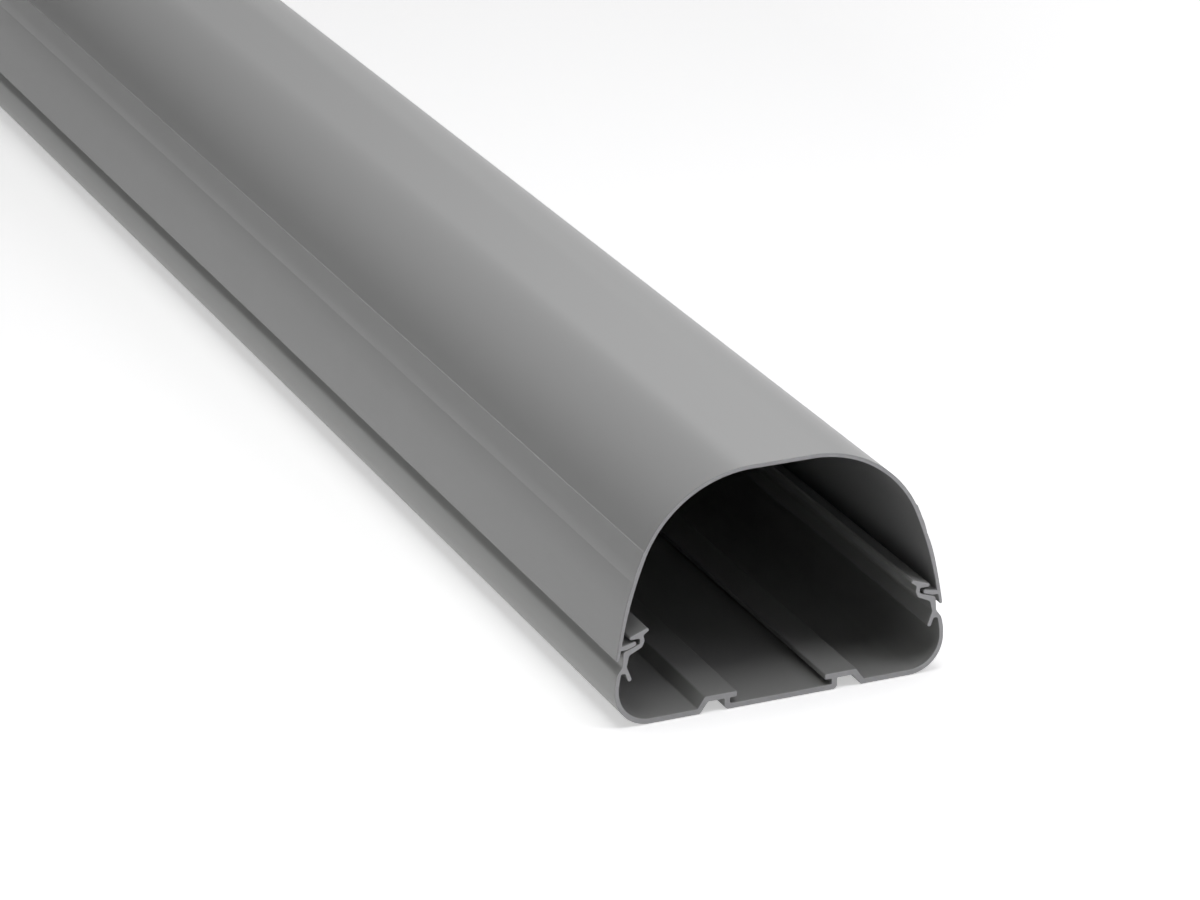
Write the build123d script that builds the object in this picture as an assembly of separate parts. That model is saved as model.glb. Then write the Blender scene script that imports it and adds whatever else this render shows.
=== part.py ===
import os
from math import asin, cos, degrees, radians, sin

from build123d import *

# Two plastic extrusions of one closed cable duct, drawn as end sections and run along Y. Millimetres.
length = 2000
width = 140
height = 100
half = width / 2

# Base: sheet thicknesses and the big rounding along each lower corner.
floor_thick = 2.3
side_thick = 1.7
corner_radius = 14.5

# Base: two raised ribs whose lips make the T track in the floor.
track_half = 21.7
lip_reach = 2.9
lip_under = 4.6
rib_top = 7.0
web_thick = 2.4
rib_shelf = 32.3
rib_foot = 35.5

# Base: where the side meets the clip, and the clip's own heights.
flare_top = 22.8
neck = 66.3
groove_low = 31.8
groove_high = 34.0
ceiling = 36.3

# Cover: a flat crown, a shoulder and a nearly upright side, all of one thickness.
cover_thick = 1.6
crown_half = 12.7
shoulder_radius = 49.5
side_radius = 163.3
cover_edge = 28.0


# Rows of x, z and corner radius, followed by their mirror image, make one closed ring.
def mirrored(rows):
    return rows + [(-x, z, radius) for x, z, radius in reversed(rows)]


# Rounds the corner of the sketch that each row names.
def round_corners(sketch, rows):
    for x, z, radius in rows:
        fillet(sketch.vertices().sort_by_distance((x, z))[0], radius)


# Underside of the right half: mid floor, the open trough below the rib, then the outer floor.
underside = [
    (track_half + web_thick, 0, 1.8),
    (track_half + web_thick, lip_under, 0.5),
    (rib_shelf - 1.4, lip_under, 1.0),
    (rib_foot - 1.1, 0, 0.9),
    (half, 0, corner_radius),
]

# Outside going up: the flare leans in a little, then a shoulder leads to the neck.
outside = [
    (half, 18.7, 30),
    (half - 1.05, flare_top, 0.4),
    (neck + 0.5, flare_top + 2.8, 0.7),
    (neck, groove_low, 1.3),
]

# The C that the cover's rib hooks into, opening outwards, with its lip on top.
clip = [
    (59.6, groove_high + 0.1, 0.9),
    (59.45, ceiling, 0.6),
    (63.6, ceiling, 0.5),
    (63.7, 37.6, 0.6),
    (56.3, 40.35, 0.3),
    (55.6, 39.2, 0.35),
    (57.95, 37.4, 1.0),
    (57.5, 35.1, 1.4),
    (58.6, 32.6, 1.0),
    (63.9, 30.0, 1.4),
]

# The fin that hangs inwards below the neck, then down the inner face of the side.
fin = [
    (64.95, 25.5, 1.2),
    (62.8, 19.6, 0.75),
    (64.4, 19.05, 0.75),
    (65.65, 22.6, 0.75),
    (67.35, 22.6, 0.75),
    (half - side_thick, 17.0, 12),
]

# Floor from above: the rib's sloping web, its flat top, the lip and the track's inside.
topside = [
    (half - side_thick, floor_thick, corner_radius - side_thick),
    (rib_foot, floor_thick, 0.8),
    (rib_shelf, rib_top, 1.0),
    (track_half - lip_reach, rib_top, 0.5),
    (track_half - lip_reach, lip_under, 0.5),
    (track_half, lip_under, 0.4),
    (track_half, floor_thick, 0.5),
]

base_rows = mirrored(underside + outside + clip + fin + topside)
with BuildPart() as base:
    with BuildSketch(Plane.XZ) as base_section:
        with BuildLine():
            Polyline(*[(x, z) for x, z, radius in base_rows], close=True)
        make_face()
        round_corners(base_section, base_rows)
    extrude(amount=length / 2, both=True)

# The shoulder and side arcs meet without a corner, so the side's centre is on the shoulder's last radius.
shoulder_end = 22.4
shoulder_centre = Vector(crown_half, height - shoulder_radius)
last_radius = Vector(cos(radians(shoulder_end)), sin(radians(shoulder_end)))
side_centre = shoulder_centre + last_radius * (shoulder_radius - side_radius)

# The cover's inner face, and the angle at which it comes down to the rib.
inner_shoulder = shoulder_radius - cover_thick
inner_side = side_radius - cover_thick
rib_root = 34.3
rib_angle = degrees(asin((rib_root - side_centre.Y) / inner_side))

# Cover's lower edge and the rib inside it, which hooks under the C's lip just clear of its floor.
cover_rows = [
    (69.45, cover_edge, 0.6),
    (68.2, cover_edge + 0.4, 0.5),
    (67.3, 32.4, 0.5),
    (64.9, 32.5, 2.0),
    (61.0, 33.8, 0.8),
    (61.0, 35.6, 0.8),
]
with BuildPart() as cover:
    with BuildSketch(Plane.XZ) as cover_section:
        with BuildLine():
            crown = Line((0, height), (crown_half, height))
            shoulder = CenterArc(shoulder_centre, shoulder_radius, 90, -65.4)
            # A moulded band runs along each side, from a small ledge down to a faint crease.
            ledge = Line(shoulder @ 1, (58.01, 71.02))
            band = RadiusArc(ledge @ 1, (62.53, 58.2), 75)
            valley = RadiusArc(band @ 1, (66.0, 46.9), 65)
            side = RadiusArc(valley @ 1, (69.45, cover_edge), 290)
            rib = Polyline(side @ 1, *[(x, z) for x, z, radius in cover_rows[1:]])
            inner = CenterArc(side_centre, inner_side, rib_angle, shoulder_end - rib_angle)
            Line(rib @ 1, inner @ 0)
            under = CenterArc(shoulder_centre, inner_shoulder, shoulder_end, 90 - shoulder_end)
            Line(under @ 1, (0, height - cover_thick))
            mirror(about=Plane.YZ)
        make_face()
        round_corners(cover_section, mirrored(cover_rows))
    extrude(amount=length / 2, both=True)

os.makedirs("parts", exist_ok=True)
export_step(base.part, "parts/base.step")
export_step(cover.part, "parts/cover.step")
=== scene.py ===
import math

import bpy
import numpy as np
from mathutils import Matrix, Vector


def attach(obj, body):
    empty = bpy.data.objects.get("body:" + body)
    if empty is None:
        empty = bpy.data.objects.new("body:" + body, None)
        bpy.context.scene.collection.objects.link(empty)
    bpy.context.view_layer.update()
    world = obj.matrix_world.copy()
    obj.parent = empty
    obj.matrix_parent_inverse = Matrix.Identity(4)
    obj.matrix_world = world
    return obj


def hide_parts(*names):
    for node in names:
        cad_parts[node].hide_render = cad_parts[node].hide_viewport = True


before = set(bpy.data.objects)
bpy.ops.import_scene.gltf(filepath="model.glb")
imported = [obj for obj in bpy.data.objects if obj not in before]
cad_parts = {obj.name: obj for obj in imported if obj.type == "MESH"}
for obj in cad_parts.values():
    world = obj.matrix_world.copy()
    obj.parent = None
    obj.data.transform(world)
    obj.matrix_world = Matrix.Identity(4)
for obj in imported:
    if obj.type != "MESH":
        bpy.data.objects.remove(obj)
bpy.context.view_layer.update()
print("frame loaded:", ", ".join(sorted(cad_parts)))

# The duct is two extrusions. Their end sections are in millimetres, x across and z up,
# and a corner of a section is a row of x, z and the radius that rounds it.
duct = {
    "halfLength": 1000.0,
    "endChamfer": 0.12,      # the sawn ends are lightly broken
    "endRing": 2.0,          # from an end to the last of the close rings beside it
    "firstStation": 40.0,    # from an end to the first of the even stations
    "stations": 24,
    "cornerPoints": 24,      # points on each rounded corner
}


def roundedPath(rows, closed=True):
    # each corner is swapped for the arc that touches both of its sides: the tangent
    # point is radius / tan(half the corner's angle) away, and the arc's points are the
    # centre plus the radius turned evenly from one tangent point to the other; the first
    # and last corners of an open path only say where it comes from and goes to
    rows = np.array(rows, float)
    corner, radius = rows[:, :2], rows[:, 2]
    toLast = np.roll(corner, 1, 0) - corner
    toNext = np.roll(corner, -1, 0) - corner
    toLast /= np.linalg.norm(toLast, axis=1)[:, None]
    toNext /= np.linalg.norm(toNext, axis=1)[:, None]
    halfAngle = np.arccos(np.clip((toLast * toNext).sum(1), -1, 1)) / 2
    bisector = toLast + toNext
    bisector /= np.linalg.norm(bisector, axis=1)[:, None]
    centre = corner + bisector * (radius / np.sin(halfAngle))[:, None]
    tangent = (radius / np.tan(halfAngle))[:, None]
    start = corner + toLast * tangent - centre
    stop = corner + toNext * tangent - centre
    first = np.arctan2(start[:, 1], start[:, 0])
    turn = np.arctan2(stop[:, 1], stop[:, 0]) - first
    turn = (turn + np.pi) % (2 * np.pi) - np.pi
    share = np.linspace(0, 1, duct["cornerPoints"])
    angle = first[:, None] + turn[:, None] * share
    arcs = centre[:, None] + radius[:, None, None] * np.stack([np.cos(angle), np.sin(angle)], 2)
    if not closed:
        arcs = arcs[1:-1]
    return arcs.reshape(-1, 2)


def arcAbout(centre, radius, firstDegrees, lastDegrees, points):
    # the centre plus the radius turned evenly between two directions
    angle = np.radians(np.linspace(firstDegrees, lastDegrees, points))
    return np.array(centre) + radius * np.stack([np.cos(angle), np.sin(angle)], 1)


def bulge(start, stop, radius, points):
    # the shallow arc of this radius from start down to stop that bows outwards: its
    # centre is on the chord's bisector, root(radius squared - half chord squared) inside
    start, stop = np.array(start, float), np.array(stop, float)
    chord = stop - start
    half = np.linalg.norm(chord) / 2
    normal = np.array([chord[1], -chord[0]]) / (2 * half)
    centre = (start + stop) / 2 + normal * math.sqrt(radius ** 2 - half ** 2)
    angles = [math.degrees(math.atan2(*(p - centre)[::-1])) for p in (start, stop)]
    return arcAbout(centre, radius, *angles, points)


basePiece = {
    "half": 70.0,
    "cornerRadius": 14.5,
    "floorThick": 2.3,
    "sideThick": 1.7,
    "sideFoot": 17.0,        # where the inside of the side starts to lean in
    "leanRadius": 12.0,
    # the track in the floor: two raised ribs with facing lips, open underneath
    "trackHalf": 21.7,
    "lipReach": 2.9,
    "lipUnder": 4.6,
    "ribTop": 7.0,
    "webThick": 2.4,
    "ribShelf": 32.3,
    "ribFoot": 35.5,
    "troughInset": (1.4, 1.1),   # from the rib's slope to the trough's, at top and foot
    # the outside going up: the flare leans in, then a small shoulder leads to the neck
    "flare": [(70.0, 18.7, 22), (68.95, 22.8, 5.5), (66.8, 25.6, 2.4), (66.3, 31.8, 1.3)],
    # the C that opens outwards, with its lip on top
    "clip": [
        (59.6, 34.1, 0.9), (59.45, 36.3, 0.6), (63.6, 36.3, 0.5), (63.7, 37.6, 0.6),
        (56.3, 40.35, 0.3), (55.6, 39.2, 0.35), (57.95, 37.4, 1.0), (57.5, 35.1, 1.4),
        (58.6, 32.6, 1.0), (63.9, 30.0, 1.4),
    ],
    # the fin that hangs inwards below the neck
    "fin": [
        (64.95, 25.5, 1.2), (62.8, 19.6, 0.75), (64.4, 19.05, 0.75), (65.65, 22.6, 0.75),
        (67.35, 22.6, 0.75),
    ],
}


def baseRing(p):
    # the right half anticlockwise from the middle of the underside, then its mirror image
    wall, floor = p["half"] - p["sideThick"], p["floorThick"]
    track, lip = p["trackHalf"], p["trackHalf"] - p["lipReach"]
    web = track + p["webThick"]
    troughTop, troughFoot = p["ribShelf"] - p["troughInset"][0], p["ribFoot"] - p["troughInset"][1]
    underside = [
        (web, 0, 1.8), (web, p["lipUnder"], 0.5), (troughTop, p["lipUnder"], 1.0),
        (troughFoot, 0, 0.9), (p["half"], 0, p["cornerRadius"]),
    ]
    inside = [
        (wall, p["sideFoot"], p["leanRadius"]), (wall, floor, p["cornerRadius"] - p["sideThick"]),
        (p["ribFoot"], floor, 0.8), (p["ribShelf"], p["ribTop"], 1.0), (lip, p["ribTop"], 0.5),
        (lip, p["lipUnder"], 0.5), (track, p["lipUnder"], 0.4), (track, floor, 0.5),
    ]
    right = underside + p["flare"] + p["clip"] + p["fin"] + inside
    left = [(-x, z, radius) for x, z, radius in reversed(right)]
    return roundedPath(right + left)


coverPiece = {
    "height": 100.0,
    "thick": 1.6,
    "crownHalf": 12.7,
    "shoulderRadius": 49.5,
    "shoulderEnd": 22.4,     # degrees above level where the shoulder hands over to the side
    "sideRadius": 163.3,
    # the moulded band along the side: a ledge, a flat, a curve to the crease, a valley
    "ledgeTurn": 64.64,      # degrees of shoulder above the ledge
    "ledge": (57.85, 71.6),
    "bandFlatEnd": (60.635, 64.64),
    "bandRadius": 28.0,
    "crease": (62.15, 59.47),
    "valleyRadius": 70.0,
    "valleyFoot": (66.0, 46.9),
    "lowSideRadius": 290.0,
    "edge": (69.45, 28.0),
    "edgeRadius": 0.6,
    # the rib inside the edge, which hooks into the base's C
    "rib": [
        (68.2, 28.4, 0.5), (67.3, 32.4, 0.5), (64.9, 32.5, 2.0), (61.0, 33.8, 0.8),
        (61.0, 35.6, 0.8),
    ],
    "ribRoot": 34.3,         # height at which the inner face comes down to it
    "points": {"shoulder": 60, "band": 20, "valley": 16, "side": 30, "innerSide": 40},
}


def coverRing(p):
    # the outside of the right half going down, the rib, the inside going up, then their
    # mirror image, turned to run anticlockwise
    points, handOver = p["points"], math.radians(p["shoulderEnd"])
    shoulderCentre = np.array([p["crownHalf"], p["height"] - p["shoulderRadius"]])
    away = np.array([math.cos(handOver), math.sin(handOver)])
    sideCentre = shoulderCentre + away * (p["shoulderRadius"] - p["sideRadius"])
    innerShoulder, innerSide = p["shoulderRadius"] - p["thick"], p["sideRadius"] - p["thick"]
    ribAngle = math.degrees(math.asin((p["ribRoot"] - sideCentre[1]) / innerSide))

    ledgeAngle = 90 - p["ledgeTurn"]
    shoulder = arcAbout(shoulderCentre, p["shoulderRadius"], 90, ledgeAngle, points["shoulder"])
    band = bulge(p["bandFlatEnd"], p["crease"], p["bandRadius"], points["band"])
    valley = bulge(p["crease"], p["valleyFoot"], p["valleyRadius"], points["valley"])
    side = bulge(p["valleyFoot"], p["edge"], p["lowSideRadius"], points["side"])
    side = side[1:-2]        # its last two points make room for the edge's rounding
    inner = arcAbout(sideCentre, innerSide, ribAngle, p["shoulderEnd"], points["innerSide"])
    under = arcAbout(shoulderCentre, innerShoulder, p["shoulderEnd"], 90, points["shoulder"])
    corners = [(*side[-1], 0), (*p["edge"], p["edgeRadius"]), *p["rib"], (*inner[0], 0)]
    foot = roundedPath(corners, closed=False)
    right = np.vstack([shoulder, p["ledge"], band, valley[1:], side, foot, inner, under[1:]])
    return np.vstack([right, right[::-1] * [-1, 1]])[::-1]


def supported(ring, margin=0.2, mostShare=0.25, longest=1.2, sharpest=5.0):
    # a side that is long, or that meets its neighbour at a visible corner, gets a point
    # just inside each of its ends, so that smooth shading stops there and flats stay flat
    length = np.linalg.norm(np.roll(ring, -1, 0) - ring, axis=1)
    ring = ring[length > 1e-6]
    step = np.roll(ring, -1, 0) - ring
    length = np.linalg.norm(step, axis=1)
    way = np.degrees(np.arctan2(step[:, 1], step[:, 0]))
    turn = np.abs((way - np.roll(way, 1) + 180) % 360 - 180)
    corner = (np.maximum(turn, np.roll(turn, -1)) > sharpest) & (length > margin)
    share = np.where((length > longest) | corner, np.minimum(margin / length, mostShare), np.nan)
    trio = np.stack([ring, ring + step * share[:, None], ring + step * (1 - share)[:, None]], 1)
    flat = trio.reshape(-1, 2)
    return flat[~np.isnan(flat[:, 0])]


def outward(ring):
    # unit normals of a ring that runs anticlockwise: the chord across each point, turned
    chord = np.roll(ring, -1, 0) - np.roll(ring, 1, 0)
    chord /= np.linalg.norm(chord, axis=1)[:, None]
    return np.stack([chord[:, 1], -chord[:, 0]], 1)


def extrude(name, ring, material, endMaterial):
    # the ring carried along y: each station is the ring, drawn in by the chamfer at both
    # ends, and the two end faces are one polygon each; the mesh is in metres
    chamfer, length = duct["endChamfer"], 2 * duct["halfLength"]
    near = np.array([0.0, chamfer, 2 * chamfer, duct["endRing"]])
    middle = np.linspace(duct["firstStation"], length - duct["firstStation"], duct["stations"])
    along = np.concatenate([near, middle, length - near[::-1]]) - duct["halfLength"]
    drawnIn = np.zeros(len(along))
    drawnIn[[0, -1]] = chamfer
    section = ring[None] - outward(ring)[None] * drawnIn[:, None, None]
    rings, count = section.shape[:2]
    place = np.empty((rings, count, 3))
    place[..., 0], place[..., 1], place[..., 2] = section[..., 0], along[:, None], section[..., 1]
    index = np.arange(rings * count).reshape(rings, count)
    right = np.roll(index, -1, 1)
    sides = np.stack([index[:-1], index[1:], right[1:], right[:-1]], 2).reshape(-1, 4)
    loops = np.concatenate([sides.ravel(), index[0], index[-1][::-1]])
    starts = np.concatenate([np.arange(len(sides)) * 4, [sides.size, sides.size + count]])
    mesh = bpy.data.meshes.new(name)
    mesh.vertices.add(rings * count)
    mesh.vertices.foreach_set("co", (place / 1000).ravel())
    mesh.loops.add(len(loops))
    mesh.loops.foreach_set("vertex_index", loops)
    mesh.polygons.add(len(starts))
    mesh.polygons.foreach_set("loop_start", starts)
    smooth = np.ones(len(starts), bool)
    smooth[-2:] = False
    mesh.polygons.foreach_set("use_smooth", smooth)
    mesh.update(calc_edges=True)
    mesh.validate()
    mesh.materials.append(material)
    mesh.materials.append(endMaterial)
    for face in mesh.polygons[-2:]:
        face.material_index = 1
    piece = bpy.data.objects.new(name, mesh)
    bpy.context.scene.collection.objects.link(piece)
    return piece


class Socket:
    # wraps a node's output so that arithmetic on it adds Math nodes
    def __init__(self, shader, link):
        self.shader, self.link = shader, link

    def math(self, operation, *others):
        values = dict(enumerate((self, *others)))
        return self.shader.node("ShaderNodeMath", {"operation": operation}, values)

    def clamped(self):
        return self.math("MAXIMUM", 0.0).math("MINIMUM", 1.0)

    def __add__(self, other):
        return self.math("ADD", other)

    def __sub__(self, other):
        return self.math("SUBTRACT", other)

    def __rsub__(self, other):
        return self.shader.node("ShaderNodeMath", {"operation": "SUBTRACT"}, {0: other, 1: self})

    def __mul__(self, other):
        return self.math("MULTIPLY", other)

    __radd__, __rmul__ = __add__, __mul__


class Shader:
    # the nodes of a material or of the world, and the shader node that ends them
    def __init__(self, owner, **fixed):
        owner.use_nodes = True
        self.owner, self.tree = owner, owner.node_tree
        ends = ("BSDF_PRINCIPLED", "BACKGROUND")
        self.surface = next(node for node in self.tree.nodes if node.type in ends)
        for socket, value in fixed.items():
            self.surface.inputs[socket.replace("_", " ")].default_value = value

    def node(self, kind, settings=None, inputs=None, output=0):
        # settings first, since some of them change which sockets there are
        made = self.tree.nodes.new(kind)
        for key, value in (settings or {}).items():
            if key == "stops":
                for stop, (at, colour) in zip(self.stops(made, len(value)), value):
                    stop.position, stop.color = at, (*colour, 1)
            else:
                setattr(made, key, value)
        for key, value in (inputs or {}).items():
            if isinstance(value, Socket):
                self.tree.links.new(value.link, made.inputs[key])
            else:
                made.inputs[key].default_value = value
        return Socket(self, made.outputs[output])

    def stops(self, ramp, count):
        elements = ramp.color_ramp.elements
        while len(elements) < count:
            elements.new(0.5)
        return elements

    def feed(self, socket, value):
        self.tree.links.new(value.link, self.surface.inputs[socket])

    def place(self, scale):
        # Object coordinates, stretched
        at = self.node("ShaderNodeTexCoord", output="Object")
        return self.node("ShaderNodeMapping", {}, {"Vector": at, "Scale": scale})

    def noise(self, scale, stretch=(1, 1, 1), detail=2.0):
        inputs = {"Vector": self.place(stretch), "Scale": scale, "Detail": detail}
        return self.node("ShaderNodeTexNoise", {}, inputs, "Fac")

    def mix(self, amount, first, second):
        inputs = {"Factor": amount, 6: (*first, 1), 7: (*second, 1)}
        return self.node("ShaderNodeMix", {"data_type": "RGBA"}, inputs, 2)

    def ramp(self, value, rows):
        # a grey ramp through (position, brightness) rows
        stops = [(at, (grey,) * 3) for at, grey in rows]
        return self.node("ShaderNodeValToRGB", {"stops": stops}, {"Fac": value})

    def bump(self, height, strength, distance):
        inputs = {"Strength": strength, "Distance": distance, "Height": height}
        self.feed("Normal", self.node("ShaderNodeBump", {}, inputs))

    def seen(self):
        # 1 for what the camera, a reflection or a see-through surface looks at, 0 for light
        camera, glossy, through = (self.node("ShaderNodeLightPath", output=f"Is {ray} Ray")
                                   for ray in ("Camera", "Glossy", "Transmission"))
        return (camera + glossy + through).math("MINIMUM", 1.0)


plastic = {
    # the two tones that each piece's colour wanders between
    "cover": ((0.296, 0.297, 0.296), (0.312, 0.313, 0.312)),
    "base": ((0.297, 0.300, 0.293), (0.313, 0.316, 0.309)),
    "dieLines": 900.0,       # streaks across the width, per metre
    "dieRun": 0.004,         # how much slower they change along the length
    "patches": 7.0,          # soft patches, per metre
    "patchRun": 0.35,
    "streakShare": 0.3,      # of the colour; the patches have the rest
    "grain": 2600.0,
    "grainShare": 0.3,       # of the relief; the streaks have the rest
    "roughness": 0.27,       # at the least, with what the patches and streaks add to it
    "roughPatches": 0.06,
    "roughStreaks": 0.05,
    "specular": 0.5,
    "relief": 0.05,
    "reliefDepth": 0.0003,
}


def extrudedPlastic(name, tones):
    # rigid plastic as it leaves the die: faint streaks along the length, a soft sheen
    p = plastic
    shader = Shader(bpy.data.materials.new(name), Specular_IOR_Level=p["specular"])
    streaks = shader.noise(p["dieLines"], (1, p["dieRun"], 1), detail=3.0)
    patches = shader.noise(p["patches"], (1, p["patchRun"], 1))
    tone = patches * (1 - p["streakShare"]) + streaks * p["streakShare"]
    shader.feed("Base Color", shader.mix(tone, *tones))
    rough = p["roughness"] + patches * p["roughPatches"] + streaks * p["roughStreaks"]
    shader.feed("Roughness", rough)
    grain = shader.noise(p["grain"], detail=1.0)
    height = streaks * (1 - p["grainShare"]) + grain * p["grainShare"]
    shader.bump(height, p["relief"], p["reliefDepth"])
    return shader.owner


sawnEndWithPaintedLight = {
    # paler than the plastic partly because a cut face is, and partly painted light: brightened to
    # make up for the little lamp light the end faces get, with a faint blue cast of the front
    # light painted in
    "tones": ((0.54, 0.54, 0.548), (0.60, 0.60, 0.608)),
    "marks": 1500.0,         # of the blade, per metre up the face
    "markRun": 0.12,         # how much slower they change across it
    "roughness": 0.5,
    "roughMarks": 0.15,
    "specular": 0.35,
    "relief": 0.12,
    "reliefDepth": 0.0003,
}


def sawnPlastic(name):
    # the cut end: duller, with fine marks from the blade; it is paler partly as a cut face is and
    # partly by painted light that brightens the end faces beyond what the lamps give them
    p = sawnEndWithPaintedLight
    shader = Shader(bpy.data.materials.new(name), Specular_IOR_Level=p["specular"])
    marks = shader.noise(p["marks"], (p["markRun"], 1, 1))
    shader.feed("Base Color", shader.mix(marks, *p["tones"]))
    shader.feed("Roughness", marks * p["roughMarks"] + p["roughness"])
    shader.bump(marks, p["relief"], p["reliefDepth"])
    return shader.owner


sawn = sawnPlastic("sawnEndWithPaintedLight")
for name, ring in (("base", baseRing(basePiece)), ("cover", coverRing(coverPiece))):
    skin = extrudedPlastic(name + "Plastic", plastic[name])
    piece = extrude(name + "Extrusion", supported(ring), skin, sawn)
    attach(piece, "root")
    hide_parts(name)
    print(piece.name, len(piece.data.polygons), "faces")

studio = {
    "cameraPlace": (-0.71804, -2.52896, 0.77788),
    "cameraTurn": (68.2513, 0.4378, -22.9737),
    "lens": 143.478,
    "sensor": 36.0,
    "floorHalf": 30.0,
    "floorDrop": 0.0002,     # below the duct, so that their faces don't lie in one plane
    "floorColour": 0.86,
    "floorRoughness": 0.9,
    "floorGlow": 0.48,       # what the camera and reflections see on top of the lit floor
    "paleRing": (0.4, 1.6),  # metres from the middle where that glow starts to rise, and is white
    "ringRun": 0.4,          # what a metre along the duct counts as
    # the room that only the camera and reflections see, dim at the horizon and paler above
    # and to the back right: rows of height in the view and brightness
    "roomLeft": [(0.08, 0.12), (0.22, 0.4), (0.38, 0.55), (0.5, 1.0)],
    "roomRight": [(0.03, 0.3), (0.1, 1.0)],
    "roomTurn": 15.0,        # degrees right of straight back where the two meet
    "roomBlend": 4.0,        # how sharply they meet
    "roomLight": 0.16,       # what the room itself adds as light on everything
    "roomLean": 0.85,        # how much more of that light comes from the back than the front
    "lampTarget": (0, -0.9, 0.05),
}

lamps = {
    # name: place, width and depth, watts, colour
    "overhead": ((0, -1.08, 1.4), (0.8, 0.8), 9.6, (1, 1, 1)),
    "frontRight": ((1.0, -1.6, 1.3), (0.8, 0.8), 4.8, (0.95, 0.93, 1)),
    "backRight": ((1.0, 0.8, 1.3), (0.8, 0.8), 1.9, (1, 1, 1)),
    "leftFill": ((-0.9, -1.1, 0.22), (0.3, 0.3), 0.45, (1, 1, 1)),
}


def areaLight(name, place, size, power, colour):
    lamp = bpy.data.lights.new(name, "AREA")
    lamp.shape = "RECTANGLE"
    lamp.size, lamp.size_y = size
    lamp.energy, lamp.color = power, colour
    light = bpy.data.objects.new(name, lamp)
    light.location = place
    light.rotation_mode = "QUATERNION"
    way = Vector(studio["lampTarget"]) - Vector(place)
    light.rotation_quaternion = way.to_track_quat("-Z", "Y")
    bpy.context.scene.collection.objects.link(light)


def studioFloor():
    half, paper = studio["floorHalf"], (studio["floorColour"],) * 3 + (1,)
    mesh = bpy.data.meshes.new("floor")
    corners = [(-half, -half, 0), (half, -half, 0), (half, half, 0), (-half, half, 0)]
    mesh.from_pydata(corners, [], [(0, 1, 2, 3)])
    floor = bpy.data.objects.new("floor", mesh)
    bpy.context.scene.collection.objects.link(floor)
    floor.location.z = -studio["floorDrop"]
    shader = Shader(bpy.data.materials.new("floorPaper"), Base_Color=paper,
                    Roughness=studio["floorRoughness"], Emission_Color=(1,) * 4)
    start, stop = studio["paleRing"]
    flat = shader.place((1, studio["ringRun"], 1))
    away = shader.node("ShaderNodeVectorMath", {"operation": "LENGTH"}, {0: flat}, "Value")
    far = ((away - start) * (1 / (stop - start))).clamped()
    glow = far * (1 - studio["floorGlow"]) + studio["floorGlow"]
    shader.feed("Emission Strength", shader.seen() * glow)
    mesh.materials.append(shader.owner)


def studioWorld():
    world = bpy.data.worlds.new("studio")
    bpy.context.scene.world = world
    shader = Shader(world, Color=(1,) * 4)
    view = shader.node("ShaderNodeTexCoord", output="Generated")
    x, y, z = (shader.node("ShaderNodeSeparateXYZ", {}, {"Vector": view}, axis) for axis in "XYZ")
    left, right = (shader.ramp(z, studio[half]) for half in ("roomLeft", "roomRight"))
    aside = x - y * math.tan(math.radians(studio["roomTurn"]))
    share = (aside * studio["roomBlend"] + 0.5).clamped()
    room = left * (1 - share) + right * share
    light = (y * studio["roomLean"] + 1) * studio["roomLight"]
    seen = shader.seen()
    shader.feed("Strength", seen * room + (1 - seen) * light)


studioFloor()
studioWorld()
for name, (place, size, power, colour) in lamps.items():
    areaLight(name, place, size, power, colour)

camera = bpy.data.objects.new("camera", bpy.data.cameras.new("camera"))
camera.location = studio["cameraPlace"]
camera.rotation_euler = [math.radians(a) for a in studio["cameraTurn"]]
camera.data.lens = studio["lens"]
camera.data.sensor_width = studio["sensor"]
bpy.context.scene.collection.objects.link(camera)
bpy.context.scene.camera = camera
bpy.context.scene.view_settings.view_transform = "Standard"
print("studio ready")
